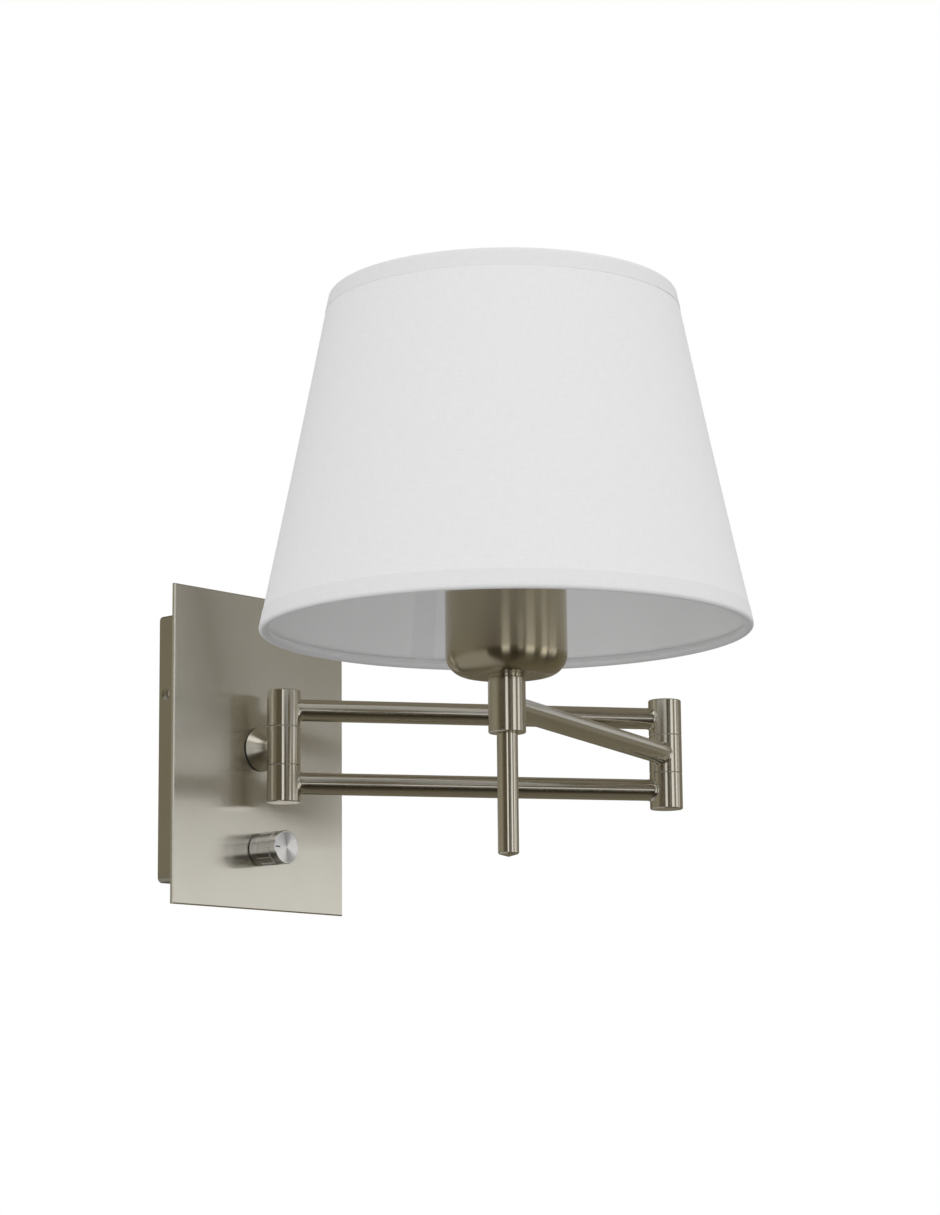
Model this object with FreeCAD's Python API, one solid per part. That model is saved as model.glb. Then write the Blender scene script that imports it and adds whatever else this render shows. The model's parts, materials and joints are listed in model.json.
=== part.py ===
"""Wall-mounted double swing-arm reading lamp with a tapered fabric shade.

Frame: the origin is the centre of the wall face, +X is to the right along the wall, +Y points
into the wall and +Z is up, so the lamp stands out towards -Y. All sizes are millimetres.
"""
import FreeCAD, Part
import math
import os

V = FreeCAD.Vector
X_AXIS = V(1, 0, 0)
Y_AXIS = V(0, 1, 0)
Z_AXIS = V(0, 0, 1)
ORIGIN = V(0, 0, 0)

# ---------------------------------------------------------------- driving dimensions
# wall box and front plate
BOX_W = 102.5
BOX_H = 147.0
BOX_DEPTH = 25.0
BOX_SHEET = 1.2
BOX_CORNER_R = 3.0
PLATE_W = 130.0
PLATE_H = 174.0
PLATE_T = 2.0
PLATE_BEVEL = 0.6

# wall bracket
BRACKET_W = 84.0
BRACKET_H = 126.0
BRACKET_T = 1.5
TAB_Z = 29.5
TAB_W = 14.0
TAB_REACH = 9.0
WALL_SCREW_SPACING_X = 68.0
WALL_SCREW_SPACING_Z = 108.0
WALL_SCREW_R = 2.6
SLOT_SPACING = 60.0
SLOT_LENGTH = 12.0
SLOT_R = 2.1
CABLE_HOLE_R = 8.0
CABLE_HOLE_Z = -28.0
SIDE_SCREW_R = 1.55
SIDE_SCREW_HEAD_R = 3.2

# hinges
HINGE_Z = 1.5
HINGE_STANDOFF = 18.3
KNUCKLE_R = 9.25
KNUCKLE_HALF = 31.0
MIDDLE_HALF = 10.5
SEAM = 0.3
WASHER_T = 0.25
PIN_R = 3.5
PIN_CLEARANCE = 0.05
PIN_BORE_R = 2.4
END_RECESS_R = 7.6
END_RECESS_DEPTH = 9.0
END_CAP_T = 1.5
BOSS_BASE_R = 12.2
BOSS_NECK_R = 5.2
BOSS_RIM_T = 1.0
STUD_R = 5.0
STUD_BORE_R = 3.2

# arms
ARM_LENGTH = 218.5
ARM_1_ANGLE = -35.0
FOLD_ANGLE = 52.1
TUBE_R = 6.05
TUBE_BORE_R = 4.9
TUBE_SPREAD = 20.3
LEAD_R = 1.0

# lamp head, heights measured from the hinge mid-height
SLEEVE_R = 9.5
SLEEVE_HALF = 14.0
HANDLE_R = 5.3
HANDLE_LENGTH = 62.2
HANDLE_SPIGOT_R = 4.2
NIPPLE_R = 5.0
NIPPLE_BORE_R = 3.4
THREAD_GAP = 0.05
COLLAR_R = 8.6
COLLAR_T = 1.0
CUP_R = 30.85
CUP_WALL = 1.0
CUP_H = 62.0
CUP_FILLET = 11.2
HOLDER_R = 19.8
HOLDER_SHOULDER_R = 23.0
HOLDER_SHOULDER_Z = 78.0
HOLDER_TOP_Z = 90.0
SCREW_SHELL_R = 13.9
SCREW_SHELL_T = 0.4
SCREW_SHELL_H = 24.0
BULB_CAP_H = 25.0
BULB_CAP_WALL = 0.6
BULB_R = 29.5
BULB_WALL = 0.9
BULB_NECK_R = 14.0

# shade, heights measured from the hinge mid-height
SHADE_BOTTOM_R = 125.0
SHADE_TOP_R = 89.25
SHADE_BOTTOM_Z = 37.5
SHADE_H = 175.0
FABRIC_T = 0.8
LINER_T = 0.5
HEM_W = 9.5
HEM_T = 0.4
RING_WIRE_R = 1.2
RING_POCKET = 2.65
STRUT_R = 1.5
STRUT_COUNT = 3
STRUT_FIRST_ANGLE = 90.0
CARRIER_RING_R = 29.0
CARRIER_RING_T = 1.2
CARRIER_RING_BORE_R = 20.6

# dimmer and knob
DIMMER_Z = -54.0
BUSH_R = 3.5
SHAFT_R = 3.0
KNOB_R = 9.2
KNOB_DEPTH = 20.8
KNOB_GAP = 0.6
KNOB_FLUTES = 12
KNOB_RING = 5.0
KNOB_BASE = 4.5
KNOB_FACE_RIM = 0.75
FLUTE_WIDTH = 3.0
FLUTE_DEPTH = 0.5

# ---------------------------------------------------------------- places worked out from them
PLATE_FRONT_Y = -(BOX_DEPTH + PLATE_T)
PAN_FRONT_Y = -BOX_DEPTH
PAN_INNER_Y = -(BOX_DEPTH - BOX_SHEET)
HINGE_1 = V(0, PLATE_FRONT_Y - HINGE_STANDOFF, HINGE_Z)
ARM_1_DIR = V(math.cos(math.radians(ARM_1_ANGLE)), math.sin(math.radians(ARM_1_ANGLE)), 0)
HINGE_2 = HINGE_1 + ARM_1_DIR * ARM_LENGTH
ARM_2_ANGLE = ARM_1_ANGLE + 180.0 + FOLD_ANGLE
ARM_2_DIR = V(math.cos(math.radians(ARM_2_ANGLE)), math.sin(math.radians(ARM_2_ANGLE)), 0)
HEAD = HINGE_2 + ARM_2_DIR * ARM_LENGTH
CUP_FLOOR_Z = SLEEVE_HALF + COLLAR_T
SHADE_TOP_Z = SHADE_BOTTOM_Z + SHADE_H
SHADE_SLOPE = (SHADE_BOTTOM_R - SHADE_TOP_R) / SHADE_H


# ---------------------------------------------------------------- helpers
def block(x0, x1, y0, y1, z0, z1):
    """A box between two corners."""
    return Part.makeBox(x1 - x0, y1 - y0, z1 - z0, V(x0, y0, z0))


def rod(start, direction, radius, length):
    """A round bar from start along direction."""
    return Part.makeCylinder(radius, length, start, direction)


def tube(start, direction, radius, bore, length):
    """A round bar with a bore right through."""
    overrun = direction * 1.0
    return rod(start, direction, radius, length).cut(rod(start - overrun, direction, bore, length + 2.0))


def turned(points, centre, axis=Z_AXIS):
    """A solid turned about axis through centre; points are (radius, distance along axis)."""
    radial = X_AXIS
    corners = [centre + radial * r + axis * h for r, h in points]
    wire = Part.makePolygon(corners + [corners[0]])
    return Part.Face(wire).revolve(centre, axis, 360)


def hexagon(centre, axis, across_flats, thickness, bore):
    """A hexagonal nut that starts at centre and grows along axis."""
    radius = across_flats / math.sqrt(3)
    side = X_AXIS
    other = axis.cross(side)
    corners = []
    for i in range(6):
        turn = math.radians(60 * i)
        corners.append(centre + side * (radius * math.cos(turn)) + other * (radius * math.sin(turn)))
    nut = Part.Face(Part.makePolygon(corners + [corners[0]])).extrude(axis * thickness)
    return nut.cut(rod(centre - axis, axis, bore, thickness + 2))


def bent_lead(points, radius, bend):
    """A round lead along straight runs joined by tangent arcs."""
    edges = []
    start = points[0]
    for before, corner, after in zip(points, points[1:], points[2:]):
        inward = (before - corner).normalize()
        outward = (after - corner).normalize()
        half = inward.getAngle(outward) / 2
        setback = bend / math.tan(half)
        arc_start = corner + inward * setback
        arc_end = corner + outward * setback
        bisector = (inward + outward).normalize()
        middle = corner + bisector * (bend / math.sin(half) - bend)
        edges.append(Part.LineSegment(start, arc_start).toShape())
        edges.append(Part.Arc(arc_start, middle, arc_end).toShape())
        start = arc_end
    edges.append(Part.LineSegment(start, points[-1]).toShape())
    path = Part.Wire(edges)
    circle = Part.Wire([Part.makeCircle(radius, points[0], (points[1] - points[0]).normalize())])
    return path.makePipeShell([circle], True, True)


def chamfer_ends(shape, size, z_levels):
    """Chamfer the outermost round edges that lie at the given heights."""
    picked = []
    widest = max(edge.Curve.Radius for edge in shape.Edges if hasattr(edge.Curve, "Radius"))
    for edge in shape.Edges:
        if not hasattr(edge.Curve, "Radius") or abs(edge.Curve.Radius - widest) > 0.01:
            continue
        if any(abs(edge.CenterOfMass.z - level) < 0.01 for level in z_levels):
            picked.append(edge)
    return shape.makeChamfer(size, picked)


def one_solid(shape):
    """The single solid that a boolean result holds."""
    return shape.Solids[0] if len(shape.Solids) == 1 else shape


# ---------------------------------------------------------------- wall unit
def rounded_slab(width, height, y0, y1, corner):
    """An upright slab, centred on the Y axis, with rounded corners."""
    slab = block(-width / 2, width / 2, y0, y1, -height / 2, height / 2)
    return slab.makeFillet(corner, [e for e in slab.Edges if abs(e.tangentAt(0).y) > 0.99])


def wall_bracket():
    sheet = rounded_slab(BRACKET_W, BRACKET_H, -BRACKET_T, 0, 4.0)
    tab_face = BOX_W / 2 - BOX_SHEET - 0.3
    tab_z0 = TAB_Z - TAB_W / 2
    tab_z1 = TAB_Z + TAB_W / 2
    sheet = sheet.fuse(block(-tab_face, tab_face, -BRACKET_T, 0, tab_z0, tab_z1))
    for side in (-1, 1):
        inner = side * (tab_face - BRACKET_T)
        outer = side * tab_face
        sheet = sheet.fuse(block(min(inner, outer), max(inner, outer), -TAB_REACH, 0, tab_z0, tab_z1))
        drill = rod(V(side * (tab_face - 5), -5.0, TAB_Z), X_AXIS * side, SIDE_SCREW_R + THREAD_GAP, 10)
        sheet = sheet.cut(drill)
    for side in (-1, 1):
        for up in (-1, 1):
            hole = V(side * WALL_SCREW_SPACING_X / 2, -5, up * WALL_SCREW_SPACING_Z / 2)
            sheet = sheet.cut(rod(hole, Y_AXIS, WALL_SCREW_R, 10))
        half_run = SLOT_LENGTH / 2 - SLOT_R
        middle = side * SLOT_SPACING / 2
        slot = block(middle - half_run, middle + half_run, -5, 5, -SLOT_R, SLOT_R)
        for end in (-1, 1):
            slot = slot.fuse(rod(V(middle + end * half_run, -5, 0), Y_AXIS, SLOT_R, 10))
        sheet = sheet.cut(slot)
    sheet = sheet.cut(rod(V(0, -5, CABLE_HOLE_Z), Y_AXIS, CABLE_HOLE_R, 10))
    return one_solid(sheet.removeSplitter())


def back_box():
    outer = rounded_slab(BOX_W, BOX_H, PAN_FRONT_Y, 0, BOX_CORNER_R)
    inner = rounded_slab(BOX_W - 2 * BOX_SHEET, BOX_H - 2 * BOX_SHEET, PAN_INNER_Y, 5,
                         BOX_CORNER_R - BOX_SHEET)
    pan = outer.cut(inner)
    pan = pan.cut(rod(V(0, -30, HINGE_Z), Y_AXIS, STUD_R + THREAD_GAP, 20))
    pan = pan.cut(rod(V(0, -30, DIMMER_Z), Y_AXIS, BUSH_R + THREAD_GAP, 20))
    pan = pan.cut(rod(V(-BOX_W, -5.0, TAB_Z), X_AXIS, 2.2, 2 * BOX_W))
    return pan


def front_plate():
    plate = block(-PLATE_W / 2, PLATE_W / 2, PLATE_FRONT_Y, PAN_FRONT_Y, -PLATE_H / 2, PLATE_H / 2)
    rim = [e for e in plate.Edges if abs(e.CenterOfMass.y - PLATE_FRONT_Y) < 0.01]
    plate = plate.makeChamfer(PLATE_BEVEL, rim)
    plate = plate.cut(rod(V(0, -40, HINGE_Z), Y_AXIS, STUD_R + THREAD_GAP, 30))
    return plate.cut(rod(V(0, -40, DIMMER_Z), Y_AXIS, BUSH_R + THREAD_GAP, 30))


def side_screws():
    screws = []
    for side in (-1, 1):
        out = X_AXIS * side
        seat = V(side * BOX_W / 2, -5.0, TAB_Z)
        head = turned_screw_head(seat, out, SIDE_SCREW_HEAD_R, 1.4)
        screws.append(head.fuse(rod(seat - out * 6.5, out, SIDE_SCREW_R, 6.6)).removeSplitter())
    return Part.makeCompound([one_solid(s) for s in screws])


def turned_screw_head(seat, out, radius, height):
    """A low domed head with a cross recess."""
    dome_r = (radius ** 2 + height ** 2) / (2 * height)
    ball = Part.makeSphere(dome_r, seat + out * (height - dome_r))
    head = ball.common(rod(seat, out, radius * 1.05, height * 1.5))
    across = out.cross(Z_AXIS) if abs(out.z) < 0.5 else X_AXIS
    other = out.cross(across)
    for run in (across, other):
        width = out.cross(run)
        corner = seat + out * (height * 0.45) - run * (radius * 0.5) - width * 0.35
        points = [corner, corner + run * radius, corner + run * radius + width * 0.7, corner + width * 0.7]
        slot = Part.Face(Part.makePolygon(points + [corner])).extrude(out * height)
        head = head.cut(slot)
    return head


def hinge_boss():
    """The trumpet-shaped stand-off and its hollow threaded stud."""
    neck_end = HINGE_1.y + KNUCKLE_R - 2.0
    rim = PLATE_FRONT_Y - BOSS_RIM_T
    flare_end = rim - 5.6
    start = V(STUD_R, PLATE_FRONT_Y, 0)
    outline = [start, V(BOSS_BASE_R, PLATE_FRONT_Y, 0), V(BOSS_BASE_R, rim, 0)]
    edges = [Part.LineSegment(a, b).toShape() for a, b in zip(outline, outline[1:])]
    flare_mid = V(BOSS_NECK_R + 2.3, rim - 2.5, 0)
    edges.append(Part.Arc(V(BOSS_BASE_R, rim, 0), flare_mid, V(BOSS_NECK_R, flare_end, 0)).toShape())
    stud_end = PAN_INNER_Y + 7.5
    tail = [V(BOSS_NECK_R, flare_end, 0), V(BOSS_NECK_R, neck_end, 0), V(STUD_BORE_R, neck_end, 0),
            V(STUD_BORE_R, stud_end, 0), V(STUD_R, stud_end, 0), start]
    edges += [Part.LineSegment(a, b).toShape() for a, b in zip(tail, tail[1:])]
    boss = Part.Face(Part.Wire(edges)).revolve(ORIGIN, Y_AXIS, 360)
    boss.translate(V(0, 0, HINGE_Z))
    return one_solid(boss.cut(rod(HINGE_1 - Z_AXIS * 40, Z_AXIS, KNUCKLE_R, 80)))


def boss_washer():
    return tube(V(0, PAN_INNER_Y, HINGE_Z), Y_AXIS, 9.0, STUD_R + THREAD_GAP, 1.0)


def boss_nut():
    return hexagon(V(0, PAN_INNER_Y + 1.0, HINGE_Z), Y_AXIS, 14.0, 4.0, STUD_R + THREAD_GAP)


def middle_knuckle(axis_point, opening_dir, opening_r):
    """The centre part of a hinge barrel, with a side hole for the leads."""
    bottom = axis_point - Z_AXIS * MIDDLE_HALF
    barrel = rod(bottom, Z_AXIS, KNUCKLE_R, 2 * MIDDLE_HALF)
    barrel = chamfer_ends(barrel, 0.25, [bottom.z, bottom.z + 2 * MIDDLE_HALF])
    barrel = barrel.cut(rod(bottom - Z_AXIS, Z_AXIS, PIN_R + PIN_CLEARANCE, 2 * MIDDLE_HALF + 2))
    return one_solid(barrel.cut(rod(axis_point, opening_dir, opening_r, KNUCKLE_R + 2)))


def dimmer_body():
    body = block(-15, 15, PAN_INNER_Y, PAN_INNER_Y + 13, DIMMER_Z - 15, DIMMER_Z + 17)
    body = body.makeFillet(1.0, [e for e in body.Edges if abs(e.tangentAt(0).y) > 0.99])
    return body.cut(rod(V(0, -30, DIMMER_Z), Y_AXIS, BUSH_R + THREAD_GAP, 30 + PAN_INNER_Y + 7))


def dimmer_bush():
    return tube(V(0, PAN_INNER_Y + 3, DIMMER_Z), -Y_AXIS, BUSH_R, SHAFT_R + PIN_CLEARANCE,
                3 + BOX_SHEET + PLATE_T + 3.5)


def dimmer_nut():
    return hexagon(V(0, PLATE_FRONT_Y, DIMMER_Z), -Y_AXIS, 10.0, 2.0, BUSH_R + THREAD_GAP)


def terminal_block():
    """A three-way screw terminal strip with its wire entries and screw wells."""
    strip = block(-16, 16, PAN_INNER_Y, PAN_INNER_Y + 12, 38, 54)
    for way in (-1, 0, 1):
        x = way * 10.0
        strip = strip.cut(rod(V(x, PAN_INNER_Y + 5.5, 30), Z_AXIS, 1.9, 30))
        for row_z in (42, 50):
            strip = strip.cut(rod(V(x, PAN_INNER_Y + 7, row_z), Y_AXIS, 1.9, 10))
    return strip


def terminal_screws():
    screws = []
    for way in (-1, 0, 1):
        for row_z in (42, 50):
            start = V(way * 10.0, PAN_INNER_Y + 7.6, row_z)
            screws.append(rod(start, Y_AXIS, 1.8, 3.2).cut(block(start.x - 2, start.x + 2,
                          start.y + 2.4, start.y + 4, row_z - 0.3, row_z + 0.3)))
    return Part.makeCompound(screws)


def box_leads():
    """The short leads from the terminal strip to the dimmer and into the hollow stud."""
    depth = PAN_INNER_Y + 5.5
    live = bent_lead([V(10, depth, 37.5), V(10, depth, 29), V(24, -12, 15), V(24, -12, -20),
                      V(9, -15, -27), V(9, -15, -36.8)], LEAD_R, 3.0)
    stud_end = PAN_INNER_Y + 7.5
    neutral = bent_lead([V(0, depth, 37.5), V(0, depth, 27), V(0, -9, 18), V(0, -9, HINGE_Z),
                         V(0, stud_end + 0.3, HINGE_Z)], LEAD_R, 3.0)
    return Part.makeCompound([live, neutral])


def earth_screw():
    seat = V(28, -BRACKET_T, -40)
    return turned_screw_head(seat, -Y_AXIS, 3.6, 2.0)


# ---------------------------------------------------------------- arm 1
def outer_knuckle(axis_point, up, tube_dir):
    """An end part of a hinge barrel: pin hole, side hole for the leads and recess for the cap."""
    inner = axis_point + Z_AXIS * (up * (MIDDLE_HALF + SEAM))
    outer = axis_point + Z_AXIS * (up * KNUCKLE_HALF)
    height = KNUCKLE_HALF - MIDDLE_HALF - SEAM
    barrel = rod(inner if up > 0 else outer, Z_AXIS, KNUCKLE_R, height)
    barrel = chamfer_ends(barrel, 0.5, [outer.z])
    barrel = chamfer_ends(barrel, 0.25, [inner.z])
    barrel = barrel.cut(rod(inner - Z_AXIS * up, Z_AXIS * up, PIN_R, height + 2))
    recess = outer - Z_AXIS * (up * END_RECESS_DEPTH)
    barrel = barrel.cut(rod(recess, Z_AXIS * up, END_RECESS_R, END_RECESS_DEPTH + 1))
    side_hole = axis_point + Z_AXIS * (up * TUBE_SPREAD)
    return one_solid(barrel.cut(rod(side_hole, tube_dir, STUD_BORE_R, KNUCKLE_R + 2)))


def arm_1_tube(up):
    start = HINGE_1 + Z_AXIS * (up * TUBE_SPREAD)
    pipe = tube(start, ARM_1_DIR, TUBE_R, TUBE_BORE_R, ARM_LENGTH)
    for hinge in (HINGE_1, HINGE_2):
        pipe = pipe.cut(rod(hinge - Z_AXIS * 40, Z_AXIS, KNUCKLE_R, 80))
    return one_solid(pipe)


def pivot_pin(hinge):
    """A hollow pivot with a round head above the upper knuckle's pin hole."""
    floor = KNUCKLE_HALF - END_RECESS_DEPTH
    shank = tube(hinge - Z_AXIS * (floor + 4.5), Z_AXIS, PIN_R, PIN_BORE_R, 2 * floor + 4.5)
    head = tube(hinge + Z_AXIS * floor, Z_AXIS, 6.0, PIN_BORE_R, 2.2)
    return one_solid(shank.fuse(head).removeSplitter())


def pivot_nuts():
    floor = KNUCKLE_HALF - END_RECESS_DEPTH
    nuts = [hexagon(h - Z_AXIS * floor, -Z_AXIS, 11.0, 4.0, PIN_R) for h in (HINGE_1, HINGE_2)]
    return Part.makeCompound(nuts)


def end_caps():
    caps = []
    for hinge in (HINGE_1, HINGE_2):
        for up in (-1, 1):
            outer = hinge + Z_AXIS * (up * (KNUCKLE_HALF - END_CAP_T))
            caps.append(rod(outer, Z_AXIS * up, END_RECESS_R, END_CAP_T))
    return Part.makeCompound(caps)


def friction_washers():
    washers = []
    for hinge in (HINGE_1, HINGE_2):
        for up in (-1, 1):
            seat = hinge + Z_AXIS * (up * (MIDDLE_HALF + SEAM))
            washers.append(tube(seat, Z_AXIS * -up, 8.6, PIN_R, WASHER_T))
    return Part.makeCompound(washers)


def leads_in_tube(start, direction, length):
    """A pair of leads lying side by side on the axis of a tube."""
    side = direction.cross(Z_AXIS) * (LEAD_R + 0.05)
    return Part.makeCompound([rod(start + side, direction, LEAD_R, length),
                              rod(start - side, direction, LEAD_R, length)])


def arm_1_leads():
    start = HINGE_1 + Z_AXIS * TUBE_SPREAD + ARM_1_DIR * (PIN_R + 0.5)
    return leads_in_tube(start, ARM_1_DIR, ARM_LENGTH - 2 * PIN_R - 1.0)


# ---------------------------------------------------------------- arm 2 and lamp head
def arm_2_tube():
    pipe = tube(HINGE_2, ARM_2_DIR, TUBE_R, TUBE_BORE_R, ARM_LENGTH)
    pipe = pipe.cut(rod(HINGE_2 - Z_AXIS * 40, Z_AXIS, KNUCKLE_R, 80))
    return one_solid(pipe.cut(rod(HEAD - Z_AXIS * 40, Z_AXIS, SLEEVE_R, 80)))


def arm_2_leads():
    start = HINGE_2 + ARM_2_DIR * (PIN_R + 0.5)
    return leads_in_tube(start, ARM_2_DIR, ARM_LENGTH - PIN_R - 6.5)


def lamp_sleeve():
    bottom = HEAD - Z_AXIS * SLEEVE_HALF
    sleeve = rod(bottom, Z_AXIS, SLEEVE_R, 2 * SLEEVE_HALF)
    sleeve = chamfer_ends(sleeve, 0.5, [bottom.z, bottom.z + 2 * SLEEVE_HALF])
    sleeve = sleeve.cut(rod(HEAD - Z_AXIS * 4, Z_AXIS, NIPPLE_R + THREAD_GAP, 30))
    sleeve = sleeve.cut(rod(bottom - Z_AXIS, Z_AXIS, HANDLE_SPIGOT_R + THREAD_GAP, 20))
    return one_solid(sleeve.cut(rod(HEAD, -ARM_2_DIR, STUD_BORE_R, SLEEVE_R + 2)))


def handle_stem():
    """The grip below the sleeve: a plain bar with a shallow pointed end and a threaded spigot."""
    top = -SLEEVE_HALF
    tip = top - HANDLE_LENGTH
    profile = [(0, tip), (4.6, tip + 1.3), (HANDLE_R, tip + 2.0), (HANDLE_R, top - 0.3),
               (HANDLE_R - 0.3, top), (HANDLE_SPIGOT_R, top), (HANDLE_SPIGOT_R, top + 9), (0, top + 9)]
    return turned(profile, HEAD)


def threaded_nipple():
    return tube(HEAD + Z_AXIS * 3.5, Z_AXIS, NIPPLE_R, NIPPLE_BORE_R, CUP_FLOOR_Z + 12.0 - 3.5)


def sleeve_collar():
    return tube(HEAD + Z_AXIS * SLEEVE_HALF, Z_AXIS, COLLAR_R, NIPPLE_R + THREAD_GAP, COLLAR_T)


def rounded_cup(radius, floor_z, top_z, fillet):
    body = rod(HEAD + Z_AXIS * floor_z, Z_AXIS, radius, top_z - floor_z)
    floor_edge = [e for e in body.Edges if abs(e.CenterOfMass.z - HEAD.z - floor_z) < 0.01]
    return body.makeFillet(fillet, floor_edge)


def socket_cup():
    outer = rounded_cup(CUP_R, CUP_FLOOR_Z, CUP_FLOOR_Z + CUP_H, CUP_FILLET)
    inner = rounded_cup(CUP_R - CUP_WALL, CUP_FLOOR_Z + CUP_WALL, CUP_FLOOR_Z + CUP_H + 5,
                        CUP_FILLET - CUP_WALL)
    return one_solid(outer.cut(inner).cut(rod(HEAD, Z_AXIS, NIPPLE_R + THREAD_GAP, 40)))


def cup_nut():
    return hexagon(HEAD + Z_AXIS * (CUP_FLOOR_Z + CUP_WALL), Z_AXIS, 14.0, 3.5, NIPPLE_R + THREAD_GAP)


def lampholder_body():
    """The insulating body of the lampholder, open at the top, with the shoulder for the shade."""
    entry = CUP_FLOOR_Z + CUP_WALL + 4.0
    shoulder = HOLDER_SHOULDER_Z
    bore = SCREW_SHELL_R + SCREW_SHELL_T
    profile = [(NIPPLE_R + THREAD_GAP, entry), (9.5, entry), (9.5, entry + 8), (HOLDER_R, entry + 16),
               (HOLDER_R, shoulder - 3), (HOLDER_SHOULDER_R, shoulder - 3), (HOLDER_SHOULDER_R, shoulder),
               (HOLDER_R, shoulder), (HOLDER_R, HOLDER_TOP_Z), (bore, HOLDER_TOP_Z),
               (bore, entry + 20), (NIPPLE_R + THREAD_GAP, entry + 20)]
    return turned(profile, HEAD)


def lampholder_shell():
    start = HEAD + Z_AXIS * (HOLDER_TOP_Z - SCREW_SHELL_H - 2.0)
    return tube(start, Z_AXIS, SCREW_SHELL_R + SCREW_SHELL_T, SCREW_SHELL_R, SCREW_SHELL_H)


def lampholder_contacts():
    """The floor disc of the lampholder and its centre contact."""
    top = HOLDER_TOP_Z + 0.5 - BULB_CAP_H
    disc = rod(HEAD + Z_AXIS * (top - 8.0), Z_AXIS, SCREW_SHELL_R + SCREW_SHELL_T, 3.0)
    return disc.fuse(rod(HEAD + Z_AXIS * (top - 5.0), Z_AXIS, 3.0, 5.0)).removeSplitter()


def shade_ring_nut():
    start = HOLDER_SHOULDER_Z + CARRIER_RING_T
    profile = [(HOLDER_R + THREAD_GAP, start), (27.0, start), (27.0, start + 2.0), (22.5, start + 2.0),
               (22.5, start + 7.0), (HOLDER_R + THREAD_GAP, start + 7.0)]
    return turned(profile, HEAD)


def bulb_cap():
    base = HOLDER_TOP_Z + 0.5 - BULB_CAP_H
    outer = SCREW_SHELL_R - 0.5
    inner = outer - BULB_CAP_WALL
    profile = [(0, base), (4.5, base), (11.0, base + 4.5), (outer, base + 6.0), (outer, base + BULB_CAP_H),
               (inner, base + BULB_CAP_H), (inner, base + 7.0), (0, base + 7.0)]
    return turned(profile, HEAD)


def bulb_outline(inset):
    """The pear-shaped half section of the bulb, set in from its outer surface."""
    base = HOLDER_TOP_Z + 0.5
    ball_r = BULB_R - inset
    ball_z = base + 50.0
    join = math.radians(-38)
    neck = BULB_NECK_R - inset
    foot = V(neck, 0, base)
    collar = V(neck + 1.5, 0, base + 10)
    shoulder = V(ball_r * math.cos(join), 0, ball_z + ball_r * math.sin(join))
    top = V(0, 0, ball_z + ball_r)
    edges = [Part.LineSegment(V(0, 0, base), foot).toShape(),
             Part.LineSegment(foot, collar).toShape(),
             Part.LineSegment(collar, shoulder).toShape(),
             Part.Arc(shoulder, V(ball_r, 0, ball_z), top).toShape(),
             Part.LineSegment(top, V(0, 0, base)).toShape()]
    return Part.Face(Part.Wire(edges)).revolve(ORIGIN, Z_AXIS, 360)


def bulb_glass():
    """The hollow glass of a pear-shaped bulb, open where the screw cap holds it."""
    glass = bulb_outline(0).cut(bulb_outline(BULB_WALL))
    glass.translate(HEAD)
    return one_solid(glass)


# ---------------------------------------------------------------- shade
def shade_radius(height):
    """The outer radius of the fabric at a height above the hinge mid-height."""
    return SHADE_BOTTOM_R - SHADE_SLOPE * (height - SHADE_BOTTOM_Z)


def shade_skin(outset, thickness, low, high):
    """A conical skin whose outer face lies outset from the fabric's outer face."""
    outer_low = shade_radius(low) + outset
    outer_high = shade_radius(high) + outset
    profile = [(outer_low, low), (outer_high, high), (outer_high - thickness, high),
               (outer_low - thickness, low)]
    return turned(profile, HEAD)


def shade_fabric():
    return shade_skin(-HEM_T, FABRIC_T, SHADE_BOTTOM_Z + HEM_T, SHADE_TOP_Z - HEM_T)


def shade_liner():
    return shade_skin(-HEM_T - FABRIC_T, LINER_T, SHADE_BOTTOM_Z + HEM_T + 2.6, SHADE_TOP_Z - HEM_T - 2.6)


def shade_hem(edge_z, inward):
    """The folded strip that covers an edge: outside band, fold and inside band."""
    far = edge_z + inward * HEM_W
    body = HEM_T + FABRIC_T + LINER_T
    fold = edge_z + inward * HEM_T
    inner = RING_POCKET + HEM_T + FABRIC_T
    ring_top = edge_z + inward * (HEM_T + 2 * RING_WIRE_R + 0.2)
    points = [(0, edge_z), (0, far), (-HEM_T, far), (-HEM_T, fold), (-inner, fold), (-inner, ring_top),
              (-body, ring_top + inward * 0.8), (-body, far), (-body - HEM_T, far),
              (-body - HEM_T, ring_top + inward * 1.4), (-inner - HEM_T, ring_top), (-inner - HEM_T, edge_z)]
    return turned([(shade_radius(z) + offset, z) for offset, z in points], HEAD)


def shade_wire_ring(edge_z, inward):
    centre_z = edge_z + inward * (HEM_T + RING_WIRE_R + 0.05)
    radius = shade_radius(centre_z) - HEM_T - FABRIC_T - RING_POCKET / 2
    return Part.makeTorus(radius, RING_WIRE_R, HEAD + Z_AXIS * centre_z)


def shade_carrier():
    """The ring that sits on the lampholder and its struts up to the top wire ring."""
    ring = tube(HEAD + Z_AXIS * HOLDER_SHOULDER_Z, Z_AXIS, CARRIER_RING_R, CARRIER_RING_BORE_R,
                CARRIER_RING_T)
    end_z = SHADE_TOP_Z - HEM_T - 2 * RING_WIRE_R - 2.4
    end_r = shade_radius(end_z) - HEM_T - FABRIC_T - LINER_T - HEM_T - STRUT_R - 1.2
    for i in range(STRUT_COUNT):
        turn = math.radians(STRUT_FIRST_ANGLE + 360.0 / STRUT_COUNT * i)
        outward = V(math.cos(turn), math.sin(turn), 0)
        foot = HEAD + outward * (CARRIER_RING_R - STRUT_R) + Z_AXIS * (HOLDER_SHOULDER_Z + 0.8)
        knee = HEAD + outward * (CARRIER_RING_R + 14) + Z_AXIS * (HOLDER_SHOULDER_Z + 0.8)
        top = HEAD + outward * end_r + Z_AXIS * end_z
        ring = ring.fuse(bent_lead([foot, knee, top], STRUT_R, 8.0))
    return one_solid(ring.removeSplitter())


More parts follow.
